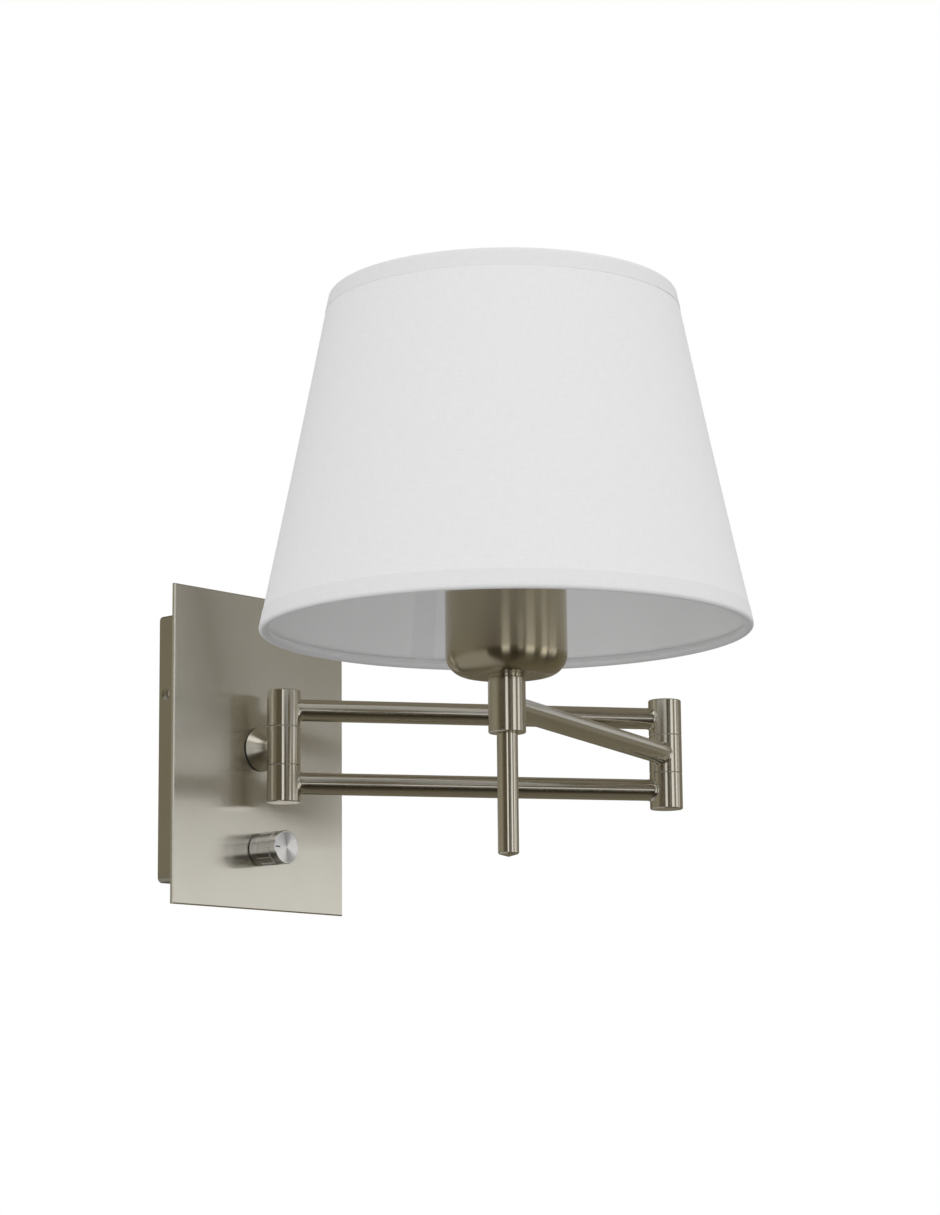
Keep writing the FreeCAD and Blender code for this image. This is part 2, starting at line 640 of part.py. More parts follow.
# ---------------------------------------------------------------- knob
def knob_body():
    back = PLATE_FRONT_Y - KNOB_GAP
    front = PLATE_FRONT_Y - KNOB_DEPTH
    grip_end = front + KNOB_RING
    face_r = KNOB_R - KNOB_FACE_RIM
    profile = [(SHAFT_R, back - 5.0), (7.4, back - 5.0), (7.4, back), (KNOB_R - 0.3, back),
               (KNOB_R, back - 0.3), (KNOB_R, grip_end + 0.4), (KNOB_R - 0.5, grip_end + 0.2),
               (KNOB_R - 0.5, grip_end - 0.2), (KNOB_R, grip_end - 0.4), (KNOB_R, front + 0.4),
               (KNOB_R - 0.4, front), (face_r, front), (face_r, front + 0.9),
               (0, front + 0.9), (0, front + 2.2), (SHAFT_R, front + 2.2)]
    knob = turned(profile, V(0, 0, DIMMER_Z), Y_AXIS)
    flute = block(-FLUTE_WIDTH / 2, FLUTE_WIDTH / 2, grip_end + 0.4, back - KNOB_BASE,
                  KNOB_R - FLUTE_DEPTH, KNOB_R + 1.0)
    flute.translate(V(0, 0, DIMMER_Z))
    for i in range(KNOB_FLUTES):
        cutter = flute.copy()
        cutter.rotate(V(0, 0, DIMMER_Z), Y_AXIS, 360.0 / KNOB_FLUTES * i)
        knob = knob.cut(cutter)
    knob = knob.cut(rod(V(0, back - 8.5, DIMMER_Z), -Z_AXIS, 1.5, KNOB_R + 2))
    return one_solid(knob)


def knob_face():
    front = PLATE_FRONT_Y - KNOB_DEPTH
    face_r = KNOB_R - KNOB_FACE_RIM
    disc = rod(V(0, front + 0.9, DIMMER_Z), -Y_AXIS, face_r, 0.8)
    notch = block(-(face_r - 0.1), -(face_r - 3.3), front - 1, front + 0.6, DIMMER_Z - 0.35, DIMMER_Z + 0.35)
    return one_solid(disc.cut(notch))


def knob_grub_screw():
    back = PLATE_FRONT_Y - KNOB_GAP
    return rod(V(0, back - 8.5, DIMMER_Z - SHAFT_R - 0.1), -Z_AXIS, 1.45, KNOB_R - SHAFT_R - 2.0)


def dimmer_shaft():
    front = PLATE_FRONT_Y - KNOB_DEPTH
    start = PAN_INNER_Y + 5.5
    return rod(V(0, start, DIMMER_Z), -Y_AXIS, SHAFT_R, start - (front + 2.2))


# ---------------------------------------------------------------- assembly
def build():
    """Every sub-part as (node name, shape)."""
    nodes = [
        ("wall_bracket", wall_bracket()),
        ("back_box", back_box()),
        ("front_plate", front_plate()),
        ("box_side_screws", side_screws()),
        ("hinge_boss", hinge_boss()),
        ("boss_washer", boss_washer()),
        ("boss_nut", boss_nut()),
        ("wall_knuckle", middle_knuckle(HINGE_1, Y_AXIS, STUD_BORE_R)),
        ("dimmer_body", dimmer_body()),
        ("dimmer_bush", dimmer_bush()),
        ("dimmer_nut", dimmer_nut()),
        ("terminal_block", terminal_block()),
        ("terminal_screws", terminal_screws()),
        ("box_leads", box_leads()),
        ("earth_screw", earth_screw()),
        ("arm_1_upper_tube", arm_1_tube(1)),
        ("arm_1_lower_tube", arm_1_tube(-1)),
    ]
    for number, hinge, tube_dir in ((1, HINGE_1, ARM_1_DIR), (2, HINGE_2, -ARM_1_DIR)):
        nodes.append((f"hinge_{number}_upper_knuckle", outer_knuckle(hinge, 1, tube_dir)))
        nodes.append((f"hinge_{number}_lower_knuckle", outer_knuckle(hinge, -1, tube_dir)))
        nodes.append((f"hinge_{number}_pivot", pivot_pin(hinge)))
    nodes += [
        ("pivot_nuts", pivot_nuts()),
        ("knuckle_end_caps", end_caps()),
        ("friction_washers", friction_washers()),
        ("arm_1_leads", arm_1_leads()),
        ("hinge_2_middle_knuckle", middle_knuckle(HINGE_2, ARM_2_DIR, STUD_BORE_R)),
        ("arm_2_tube", arm_2_tube()),
        ("arm_2_leads", arm_2_leads()),
        ("lamp_sleeve", lamp_sleeve()),
        ("handle_stem", handle_stem()),
        ("threaded_nipple", threaded_nipple()),
        ("sleeve_collar", sleeve_collar()),
        ("socket_cup", socket_cup()),
        ("cup_nut", cup_nut()),
        ("lampholder_body", lampholder_body()),
        ("lampholder_shell", lampholder_shell()),
        ("lampholder_contacts", lampholder_contacts()),
        ("shade_ring_nut", shade_ring_nut()),
        ("shade_carrier", shade_carrier()),
        ("shade_fabric", shade_fabric()),
        ("shade_liner", shade_liner()),
        ("shade_hem_top", shade_hem(SHADE_TOP_Z, -1)),
        ("shade_hem_bottom", shade_hem(SHADE_BOTTOM_Z, 1)),
        ("shade_wire_top", shade_wire_ring(SHADE_TOP_Z, -1)),
        ("shade_wire_bottom", shade_wire_ring(SHADE_BOTTOM_Z, 1)),
        ("bulb_cap", bulb_cap()),
        ("bulb_glass", bulb_glass()),
        ("knob_body", knob_body()),
        ("knob_face", knob_face()),
        ("knob_grub_screw", knob_grub_screw()),
        ("dimmer_shaft", dimmer_shaft()),
    ]
    return nodes


def main():
    os.makedirs("parts", exist_ok=True)
    for name, shape in build():
        shape.exportStep(f"parts/{name}.step")
        box = shape.BoundBox
        print(f"{name:24s} valid={shape.isValid()} solids={len(shape.Solids)} volume={shape.Volume:10.1f}"
              f"  x {box.XMin:.1f} {box.XMax:.1f}  y {box.YMin:.1f} {box.YMax:.1f}"
              f"  z {box.ZMin:.1f} {box.ZMax:.1f}")


main()
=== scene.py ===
"""Looks of the double swing-arm wall lamp: brushed nickel, aluminium knob and laminated linen shade.

Everything is in metres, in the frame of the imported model.
"""

import json
import math

import bmesh
import bpy
from mathutils import Matrix, Vector


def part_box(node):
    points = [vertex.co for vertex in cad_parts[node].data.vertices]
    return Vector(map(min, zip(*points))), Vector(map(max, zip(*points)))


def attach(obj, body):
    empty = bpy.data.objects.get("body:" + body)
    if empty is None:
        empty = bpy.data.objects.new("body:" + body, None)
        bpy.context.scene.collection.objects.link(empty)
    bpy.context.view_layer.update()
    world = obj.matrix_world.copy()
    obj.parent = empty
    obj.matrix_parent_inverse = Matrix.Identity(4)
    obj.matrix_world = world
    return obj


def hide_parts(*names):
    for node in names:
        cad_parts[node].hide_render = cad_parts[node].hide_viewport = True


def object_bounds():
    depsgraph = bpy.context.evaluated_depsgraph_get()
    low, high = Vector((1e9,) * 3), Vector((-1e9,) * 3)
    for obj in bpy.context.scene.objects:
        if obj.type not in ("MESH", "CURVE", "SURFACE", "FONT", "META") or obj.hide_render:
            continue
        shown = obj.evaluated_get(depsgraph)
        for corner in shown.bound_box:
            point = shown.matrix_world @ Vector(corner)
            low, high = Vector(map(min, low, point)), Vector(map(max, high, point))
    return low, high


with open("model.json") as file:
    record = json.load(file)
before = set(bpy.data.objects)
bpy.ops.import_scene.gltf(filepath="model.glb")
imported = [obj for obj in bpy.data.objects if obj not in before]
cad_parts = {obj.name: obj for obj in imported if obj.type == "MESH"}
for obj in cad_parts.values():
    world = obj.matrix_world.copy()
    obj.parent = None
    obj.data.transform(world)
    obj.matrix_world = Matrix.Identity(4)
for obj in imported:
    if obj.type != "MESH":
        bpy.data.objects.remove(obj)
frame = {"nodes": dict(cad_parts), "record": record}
cad_low, cad_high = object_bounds()
NODES = frame["nodes"]

MM = 0.001

# ---------------------------------------------------------------- camera
CAMERA_AT = Vector((-1.19834, -1.25881, -0.22485))
CAMERA_YAW = math.radians(48.103)
CAMERA_PITCH = math.radians(10.096)
CAMERA_ROLL = math.radians(-0.508)
CAMERA_LENS = 92.47
CAMERA_SENSOR = 36.0
CAMERA_REACH = 50.0


def make_camera():
    data = bpy.data.cameras.new("camera")
    data.lens = CAMERA_LENS
    data.sensor_width = CAMERA_SENSOR
    data.clip_end = CAMERA_REACH
    camera = bpy.data.objects.new("camera", data)
    bpy.context.scene.collection.objects.link(camera)
    forward = Vector((math.sin(CAMERA_YAW) * math.cos(CAMERA_PITCH),
                      math.cos(CAMERA_YAW) * math.cos(CAMERA_PITCH),
                      math.sin(CAMERA_PITCH)))
    level = Vector((math.cos(CAMERA_YAW), -math.sin(CAMERA_YAW), 0.0))
    up = level.cross(forward)
    right = level * math.cos(CAMERA_ROLL) + up * math.sin(CAMERA_ROLL)
    up = right.cross(forward)
    turn = Matrix((right, up, -forward)).transposed().to_4x4()
    camera.matrix_world = Matrix.Translation(CAMERA_AT) @ turn
    bpy.context.scene.camera = camera


make_camera()


# ---------------------------------------------------------------- places read from the frame
def middle(node):
    """The middle of a CAD node's box, at rest."""
    low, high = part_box(node)
    return (low + high) / 2


def half_width(node):
    """Half a CAD node's size along x, which is the radius of a round one."""
    low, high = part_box(node)
    return (high.x - low.x) / 2


def direction(from_node, to_node):
    """The level direction, at rest, from the middle of one CAD node to the middle of another."""
    run = middle(to_node) - middle(from_node)
    return Vector((run.x, run.y, 0.0)).normalized()


HEAD = Vector((*middle("lamp_sleeve").xy, 0.0))
ARM_1_ALONG = direction("hinge_1_upper_knuckle", "hinge_2_upper_knuckle")
ARM_2_ALONG = direction("hinge_2_middle_knuckle", "lamp_sleeve")
hem_low, hem_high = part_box("shade_hem_bottom")
top_hem_low, top_hem_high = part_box("shade_hem_top")
SHADE_BOTTOM_Z = hem_low.z
SHADE_TOP_Z = top_hem_high.z
SHADE_BOTTOM_R = half_width("shade_hem_bottom")
HEM_W = hem_high.z - hem_low.z
SHADE_SLOPE = (SHADE_BOTTOM_R - half_width("shade_hem_top")) / (top_hem_low.z - SHADE_BOTTOM_Z)


# ---------------------------------------------------------------- node helpers
class Nodes:
    """A node tree, emptied, with short ways to add and join nodes."""

    def __init__(self, tree):
        self.tree = tree
        self.tree.nodes.clear()

    def node(self, kind, **settings):
        made = self.tree.nodes.new(kind)
        for key, value in settings.items():
            setattr(made, key, value)
        return made

    def link(self, source, target):
        self.tree.links.new(source, target)

    def feed(self, sockets, values):
        """Numbers and colours are set on their sockets, and other nodes' outputs are linked."""
        for socket, value in zip(sockets, values):
            if isinstance(value, (int, float, tuple)):
                socket.default_value = value
            else:
                self.link(value, socket)

    def math(self, operation, *values):
        made = self.node("ShaderNodeMath", operation=operation)
        self.feed(made.inputs, values)
        return made.outputs[0]

    def weigh(self, *pairs):
        """The sum of (value, weight) pairs."""
        total = None
        for value, weight in pairs:
            part = self.math("MULTIPLY", value, weight)
            total = part if total is None else self.math("ADD", total, part)
        return total

    def mix(self, blend, share, a, b):
        made = self.node("ShaderNodeMixRGB", blend_type=blend)
        self.feed(made.inputs, (share, a, b))
        return made.outputs[0]

    def spread(self, value, low, high, to_low, to_high, **settings):
        """value, which goes from low to high, brought to to_low to to_high."""
        made = self.node("ShaderNodeMapRange", **settings)
        sockets = [made.inputs[name] for name in ("Value", "From Min", "From Max", "To Min", "To Max")]
        self.feed(sockets, (value, low, high, to_low, to_high))
        return made.outputs[0]

    def ramp(self, value, stops):
        """A colour ramp; stops are (place from 0 to 1, colour)."""
        made = self.node("ShaderNodeValToRGB")
        while len(made.color_ramp.elements) < len(stops):
            made.color_ramp.elements.new(0.5)
        for element, (at, colour) in zip(made.color_ramp.elements, stops):
            element.position = at
            element.color = (*colour, 1.0)
        self.link(value, made.inputs["Fac"])
        return made.outputs["Color"]

    def parts(self, vector):
        """The three parts of a vector."""
        made = self.node("ShaderNodeSeparateXYZ")
        self.link(vector, made.inputs[0])
        return made.outputs


QUARTER_TURN = 0.25


class Graph(Nodes):
    """A material's nodes round its one shader."""

    def __init__(self, name):
        self.material = bpy.data.materials.new(name)
        self.material.use_nodes = True
        super().__init__(self.material.node_tree)
        self.shader = self.node("ShaderNodeBsdfPrincipled")
        output = self.node("ShaderNodeOutputMaterial")
        self.link(self.shader.outputs[0], output.inputs["Surface"])

    def scaled(self, vector, scale):
        mapping = self.node("ShaderNodeMapping")
        mapping.inputs["Scale"].default_value = scale
        self.link(vector, mapping.inputs["Vector"])
        return mapping.outputs[0]

    def coords(self, scale=(1, 1, 1)):
        """The piece's own coordinates."""
        return self.scaled(self.node("ShaderNodeTexCoord").outputs["Object"], scale)

    def noise(self, vector, scale, detail=3.0, rough=0.55):
        made = self.node("ShaderNodeTexNoise")
        sockets = [made.inputs[name] for name in ("Vector", "Scale", "Detail", "Roughness")]
        self.feed(sockets, (vector, scale, detail, rough))
        return made.outputs["Fac"]

    def bump(self, height, strength, distance):
        made = self.node("ShaderNodeBump")
        sockets = [made.inputs[name] for name in ("Height", "Strength", "Distance")]
        self.feed(sockets, (height, strength, distance))
        return made.outputs[0]

    def finish(self, **values):
        """Feed the shader's sockets, named with _ for a space, and give the material."""
        sockets = [self.shader.inputs[name.replace("_", " ")] for name in values]
        self.feed(sockets, values.values())
        return self.material

    def around_y(self):
        """The tangent of a face turned about the y axis, for its reflections to reach out along."""
        self.shader.inputs["Anisotropic Rotation"].default_value = QUARTER_TURN
        return self.node("ShaderNodeTangent", direction_type="RADIAL", axis="Y").outputs[0]


# ---------------------------------------------------------------- materials
GRAIN_DEPTH = 0.05 * MM
MOULDED_DEPTH = 0.1 * MM
WEAVE_DEPTH = 0.2 * MM
# lowest and highest values that a noise usually takes
NOISE_LOW, NOISE_HIGH = 0.25, 0.75
BROAD_SCALE = 30.0
ROUGH_EITHER_WAY = 0.12


def brushed_metal(name, light, dark, rough, stretch, grain_scale, shine=None, stretch_shine=0.0, bump=0.03):
    """Brushed metal. stretch squeezes the grain along the brushing; shine is the direction, in the
    piece's own axes, in which the brushing draws out a reflection, or "spun" for a face that was
    turned about the y axis."""
    g = Graph(name)
    fine = g.noise(g.coords(stretch), grain_scale, 4.0, 0.6)
    broad = g.noise(g.coords(), BROAD_SCALE, 2.0)
    tone = g.weigh((fine, 0.4), (broad, 0.6))
    if shine == "spun":
        g.finish(Tangent=g.around_y())
    elif shine is not None:
        along = g.node("ShaderNodeVectorTransform", vector_type="VECTOR", convert_from="OBJECT",
                       convert_to="WORLD")
        along.inputs[0].default_value = shine
        g.finish(Tangent=along.outputs[0])
    return g.finish(Base_Color=g.ramp(tone, [(0.30, dark), (0.70, light)]),
                    Roughness=g.spread(fine, NOISE_LOW, NOISE_HIGH, rough * (1 - ROUGH_EITHER_WAY),
                                       rough * (1 + ROUGH_EITHER_WAY)),
                    Normal=g.bump(fine, bump, GRAIN_DEPTH),
                    Metallic=1.0, Anisotropic=stretch_shine)


# The knob's face: painted highlight and painted shade fans, at degrees counted upwards from its right, and
# how bright each is painted.
PAINTED_FAN_HIGHLIGHTS = (
    (-180, 0.7), (-155, 1.0), (-105, 1.0), (-82, 0.15), (-50, 0.2), (-25, 0.9), (35, 1.0), (68, 0.3),
    (95, 0.0), (120, 0.35), (180, 0.7),
)
FACE_RING_SCALE = 4000.0
POINTER_W = 0.7 * MM
POINTER_L = 3.4 * MM


def spun_disc_with_painted_fans(name, node, painted_highlight_grey, painted_shade_grey, ink):
    """A disc turned on a lathe: rings round its middle, bright and dull fans of reflection painted into its
    colour as painted highlight and painted shade, and an inked pointer line in the notch on its left."""
    g = Graph(name)
    centre = middle(node)
    place = g.parts(g.coords())
    across = g.math("SUBTRACT", place["X"], centre.x)
    up = g.math("SUBTRACT", place["Z"], centre.z)
    share = g.math("ADD", g.math("DIVIDE", g.math("ARCTAN2", up, across), 2 * math.pi), 0.5)
    # painted highlight and painted shade: the fans' greys go into the base colour
    painted_fans = []
    for turn, level in PAINTED_FAN_HIGHLIGHTS:
        grey = painted_shade_grey + (painted_highlight_grey - painted_shade_grey) * level
        painted_fans.append((turn / 360 + 0.5, (grey, grey, grey)))
    out = g.math("SQRT", g.math("ADD", g.math("MULTIPLY", across, across), g.math("MULTIPLY", up, up)))
    at = g.node("ShaderNodeCombineXYZ")
    g.link(out, at.inputs["X"])
    rings = g.noise(at.outputs[0], FACE_RING_SCALE, 4.0, 0.6)
    thin = g.math("LESS_THAN", g.math("ABSOLUTE", up), POINTER_W / 2)
    left = g.math("LESS_THAN", across, POINTER_L - half_width(node))
    pointer = g.math("MULTIPLY", thin, left)
    return g.finish(Base_Color=g.mix("MIX", pointer, g.ramp(share, painted_fans), (ink, ink, ink, 1.0)),
                    Roughness=g.spread(rings, NOISE_LOW, NOISE_HIGH, 0.27, 0.33),
                    Normal=g.bump(rings, 0.03, GRAIN_DEPTH),
                    Tangent=g.around_y(), Metallic=1.0, Anisotropic=0.9)


def plain_plastic(name, colour, rough):
    """Moulded plastic, also for plastic-coated wire: a fine texture and slight differences in tone."""
    g = Graph(name)
    fine = g.noise(g.coords(), 900.0, 3.0)
    broad = g.noise(g.coords(), 45.0, 2.0)
    darker = tuple(c * 0.9 for c in colour)
    return g.finish(Base_Color=g.ramp(broad, [(0.3, darker), (0.7, colour)]),
                    Roughness=g.spread(fine, 0.2, 0.8, rough * 0.85, rough * 1.2),
                    Normal=g.bump(fine, 0.05, MOULDED_DEPTH))


def opal_glass():
    g = Graph("opal_glass")
    haze = g.noise(g.coords(), 60.0, 2.0)
    return g.finish(Base_Color=g.ramp(haze, [(0.3, (0.86, 0.86, 0.84)), (0.7, (0.93, 0.93, 0.91))]),
                    Roughness=g.spread(haze, 0.2, 0.8, 0.18, 0.26),
                    Subsurface_Weight=0.3)


# slubs, in the weave's own coordinates, which count threads
SLUB_ACROSS = 0.6
SLUB_ALONG = 0.05


def linen(name, colour, shadow, bump):
    """A laminated plain weave: two sets of threads, uneven slubs and a little sheen."""
    g = Graph(name)
    threads = g.node("ShaderNodeUVMap", uv_map="weave").outputs[0]
    place = g.parts(threads)
    warp = g.math("SINE", g.math("MULTIPLY", place["X"], 2 * math.pi))
    weft = g.math("SINE", g.math("MULTIPLY", place["Y"], 2 * math.pi))
    weave = g.math("MULTIPLY", warp, weft)
    upright_slubs = g.noise(g.scaled(threads, (SLUB_ACROSS, SLUB_ALONG, 1.0)), 1.0, 4.0, 0.65)
    level_slubs = g.noise(g.scaled(threads, (SLUB_ALONG, SLUB_ACROSS, 1.0)), 1.0, 4.0, 0.65)
    slubs = g.weigh((upright_slubs, 0.5), (level_slubs, 0.5))
    tone = g.weigh((weave, 0.12), (slubs, 1.0))
    height = g.weigh((weave, 0.35), (slubs, 0.65))
    return g.finish(Base_Color=g.ramp(tone, [(0.30, shadow), (0.62, colour)]),
                    Roughness=g.spread(slubs, 0.2, 0.8, 0.82, 0.95),
                    Normal=g.bump(height, bump, WEAVE_DEPTH),
                    Sheen_Weight=0.15, Sheen_Roughness=0.5)


def smooth_lining(name, light, dark):
    """The plastic film inside the shade."""
    g = Graph(name)
    film = g.noise(g.coords(), 25.0, 3.0)
    return g.finish(Base_Color=g.ramp(film, [(0.3, dark), (0.7, light)]),
                    Roughness=g.spread(film, 0.2, 0.8, 0.42, 0.55),
                    Normal=g.bump(g.noise(g.coords(), 700.0, 2.0), 0.04, MOULDED_DEPTH))


NICKEL = (0.68, 0.645, 0.56), (0.635, 0.60, 0.51)
# painted light: the plate's nickel is paler than the rest, for the brighter reflections on its lower part
PLATE_NICKEL_LIT = (0.735, 0.71, 0.64), (0.69, 0.665, 0.59)
# painted shade: the box's nickel is darker than the rest, for the dimmer reflections on its sides
BOX_NICKEL_SHADED = (0.50, 0.47, 0.38), (0.46, 0.43, 0.345)
# painted shade: the cup's nickel is darker and warmer than the rest, for the dim light it mirrors inside the
# shade
CUP_NICKEL_SHADED = (0.50, 0.445, 0.32), (0.475, 0.42, 0.30)
ALUMINIUM = (0.84, 0.84, 0.83), (0.76, 0.76, 0.75)
ZINC = (0.66, 0.68, 0.70), (0.55, 0.57, 0.58)
BRASS = (0.80, 0.62, 0.30), (0.70, 0.53, 0.24)
CAP_METAL = (0.78, 0.78, 0.77), (0.66, 0.66, 0.65)
# how the grain is squeezed: not at all, round a vertical or a y axis, or up a wall
FINE = (1.0, 1.0, 1.0)
ROUND_Z = (1.0, 1.0, 16.0)
ROUND_Y = (1.0, 16.0, 1.0)
UPRIGHT = (24.0, 24.0, 1.0)
# where reflections are drawn out
UP = (0.0, 0.0, 1.0)
LEVEL = (0.7, 0.7, 0.0)

nickel_rod_1 = brushed_metal("nickel_rod_1", *NICKEL, 0.17, FINE, 900.0, ARM_1_ALONG, 0.75)
nickel_rod_2 = brushed_metal("nickel_rod_2", *NICKEL, 0.20, FINE, 900.0, ARM_2_ALONG, 0.75)
nickel_boss = brushed_metal("nickel_boss", *NICKEL, 0.31, ROUND_Y, 600.0, "spun", 0.6, 0.01)
# the box and its side screws carry the darker, painted-shade nickel
nickel_box_shaded = brushed_metal("nickel_box_shaded", *BOX_NICKEL_SHADED, 0.30, UPRIGHT, 200.0, LEVEL, 0.5)
# painted shadow: a near-black material for the recessed ring under the stand-off's base
boss_groove_painted_shadow = plain_plastic("boss_groove_painted_shadow", (0.022, 0.02, 0.017), 0.6)
MATERIALS = {
    "nickel_plate": brushed_metal("nickel_plate", *PLATE_NICKEL_LIT, 0.22, UPRIGHT, 200.0, LEVEL, 0.82),
    "nickel_turned": brushed_metal("nickel_turned", *NICKEL, 0.17, ROUND_Z, 350.0, UP, 0.75),
    "nickel_cup": brushed_metal("nickel_cup", *CUP_NICKEL_SHADED, 0.24, ROUND_Z, 600.0, UP, 0.95, 0.01),
    "knob_aluminium": brushed_metal("knob_aluminium", *ALUMINIUM, 0.24, ROUND_Y, 300.0, "spun", 0.5),
    "zinc_steel": brushed_metal("zinc_steel", *ZINC, 0.34, FINE, 260.0),
    "brass": brushed_metal("brass", *BRASS, 0.26, ROUND_Z, 260.0),
    "bulb_cap_metal": brushed_metal("bulb_cap_metal", *CAP_METAL, 0.3, ROUND_Z, 260.0),
    "nylon": plain_plastic("nylon", (0.80, 0.78, 0.72), 0.5),
    "terminal_plastic": plain_plastic("terminal_plastic", (0.84, 0.84, 0.81), 0.35),
    "dimmer_plastic": plain_plastic("dimmer_plastic", (0.03, 0.03, 0.033), 0.45),
    "holder_plastic": plain_plastic("holder_plastic", (0.84, 0.83, 0.79), 0.32),
    "lead_insulation": plain_plastic("lead_insulation", (0.26, 0.14, 0.07), 0.45),
    "shade_linen": linen("shade_linen", (0.872, 0.872, 0.875), (0.81, 0.81, 0.812), 0.25),
    # painted shade: the hem bands are a little darker than the cover, though they are the same cloth turned
    # over
    "hem_linen": linen("hem_linen", (0.835, 0.835, 0.838), (0.775, 0.775, 0.777), 0.25),
    # the lining's own white, set a little paler as painted light for the light that shines through the shade
    "shade_lining": smooth_lining("shade_lining", (0.89, 0.89, 0.895), (0.865, 0.865, 0.87)),
    # painted shade: the lining is darker where it laps over at the seam, for the double film that lets less
    # light through
    "lining_lap": smooth_lining("lining_lap", (0.84, 0.84, 0.85), (0.81, 0.81, 0.82)),
    "shade_wire": plain_plastic("shade_wire", (0.82, 0.82, 0.80), 0.3),
    "opal_glass": opal_glass(),
}
OWN_BRUSHING = {
    "arm_1_upper_tube": nickel_rod_1,
    "arm_1_lower_tube": nickel_rod_1,
    "arm_2_tube": nickel_rod_2,
    "back_box": nickel_box_shaded,
    "box_side_screws": nickel_box_shaded,
    # the knob's face has painted highlight and painted shade fans in its colour
    "knob_face": spun_disc_with_painted_fans("knob_spun_face_painted_fans", "knob_face", 1.0, 0.42, 0.04),
}


def dress_cad_nodes():
    """Each CAD node gets the material of its slot, or its own."""
    slots = {part["node"]: part["material_slot"] for part in frame["record"]["subparts"]}
    for name, node in NODES.items():
        material = OWN_BRUSHING.get(name, MATERIALS[slots[name]])
        node.data.materials.clear()
        node.data.materials.append(material)


dress_cad_nodes()


# ---------------------------------------------------------------- mesh helpers
def add_piece(name, mesh, material, body):
    """Put a finished mesh into the scene as a piece that rides on a body."""
    piece = bpy.data.objects.new(name, mesh)
    bpy.context.scene.collection.objects.link(piece)
    mesh.materials.append(material)
    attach(piece, body)
    return piece


def join_rows(bm, rows, closed=True):
    """Smooth faces between neighbouring loops of points; closed joins the last loop to the first.
    Gives each face with its place along the loop and its place from loop to loop."""
    made = []
    for j in range(len(rows) if closed else len(rows) - 1):
        low, high = rows[j], rows[(j + 1) % len(rows)]
        for i in range(len(low)):
            k = (i + 1) % len(low)
            face = bm.faces.new((low[i], low[k], high[k], high[i]))
            face.smooth = True
            made.append((face, i, j))
    return made


def finished_mesh(name, bm):
    mesh = bpy.data.meshes.new(name)
    bmesh.ops.recalc_face_normals(bm, faces=bm.faces)
    bm.to_mesh(mesh)
    bm.free()
    return mesh


# ---------------------------------------------------------------- shade
THREAD = 0.42 * MM
AROUND = 288
SEAM_START = math.radians(60.0)
SEAM_END = math.radians(66.0)
SEAM_EDGE = math.radians(0.8)
SEAM_LAP = 0.35 * MM
ROLL_R = 1.9 * MM
HEM_CLOTH = 0.3 * MM
HEM_DEPTH = 0.27 * MM
HEM_BITE = 0.6 * HEM_CLOTH
LIP_LOOP = 0.06 * MM
INNER_HEM = 4.8 * MM
COVER_INSET = 0.1 * MM
COVER_T = 0.8 * MM
COVER_MARGIN = 1.2 * MM
COVER_STEPS = 40
LINING_INSET = COVER_INSET + COVER_T + 0.1 * MM
LINING_T = 0.4 * MM
LINING_MARGIN = 2.5 * MM
LINING_STEPS = 30
HEM_STEPS = 8
ROLL_STEPS = 14


def shade_radius(z):
    return SHADE_BOTTOM_R - SHADE_SLOPE * (z - SHADE_BOTTOM_Z)


def dent(angle, height):
    """The slight unevenness of a hand-stretched shade, in metres."""
    slow = 0.35 * math.sin(2 * angle + 0.6) + 0.22 * math.sin(3 * angle + 2.1) + 0.12 * math.sin(7 * angle)
    return MM * slow * math.sin(math.pi * height)


def overlap(angle):
    """0 to 1 and back where one end of the lining laps over the other."""
    rise = (angle - SEAM_START) / SEAM_EDGE
    fall = (SEAM_END - angle) / SEAM_EDGE
    return min(1.0, max(0.0, rise)) * min(1.0, max(0.0, fall))


def ring_surface(name, profile, material, lap=0.0):
    """A closed skin of revolution about the shade's axis. profile is a list of (radius, z, share of
    the height, how the lapped seam shows: 0 not at all, -1 standing inwards); lap is how far the
    seam stands proud, and its faces take the piece's second material."""
    bm = bmesh.new()
    rows = []
    for radius, z, height, shows in profile:
        row = []
        for i in range(AROUND):
            angle = 2 * math.pi * i / AROUND
            r = radius + dent(angle, height) + lap * shows * overlap(angle)
            row.append(bm.verts.new((HEAD.x + r * math.cos(angle), HEAD.y + r * math.sin(angle), z)))
        rows.append(row)
    lengths = [0.0]
    for start, end in zip(profile, profile[1:] + profile[:1]):
        lengths.append(lengths[-1] + math.hypot(end[0] - start[0], end[1] - start[1]))
    weave = bm.loops.layers.uv.new("weave")
    threads_round = 2 * math.pi * SHADE_BOTTOM_R / THREAD
    for face, i, j in join_rows(bm, rows):
        middle_angle = 2 * math.pi * (i + 0.5) / AROUND
        face.material_index = int(lap > 0 and SEAM_START < middle_angle < SEAM_END)
        corners = ((i, j), (i + 1, j), (i + 1, j + 1), (i, j + 1))
        for loop, (around, along) in zip(face.loops, corners):
            loop[weave].uv = (around / AROUND * threads_round, lengths[along] / THREAD)
    return add_piece(name, finished_mesh(name, bm), material, "lamp_arm")


def wall(inset, thick, margin, steps):
    """Profile of a skin that follows the shade's wall, up its outer side and down its inner side."""
    low, high = SHADE_BOTTOM_Z + margin, SHADE_TOP_Z - margin
    outer = []
    for s in range(steps + 1):
        share = s / steps
        z = low + (high - low) * share
        outer.append((shade_radius(z) - inset, z, share, 0.0))
    return outer + [(r - thick, z, share, -1.0) for r, z, share, _ in reversed(outer)]


def shade_cover():
    profile = wall(COVER_INSET, COVER_T, COVER_MARGIN, COVER_STEPS)
    piece = ring_surface("shade_cover", profile, MATERIALS["shade_linen"])
    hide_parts("shade_fabric")
    return piece


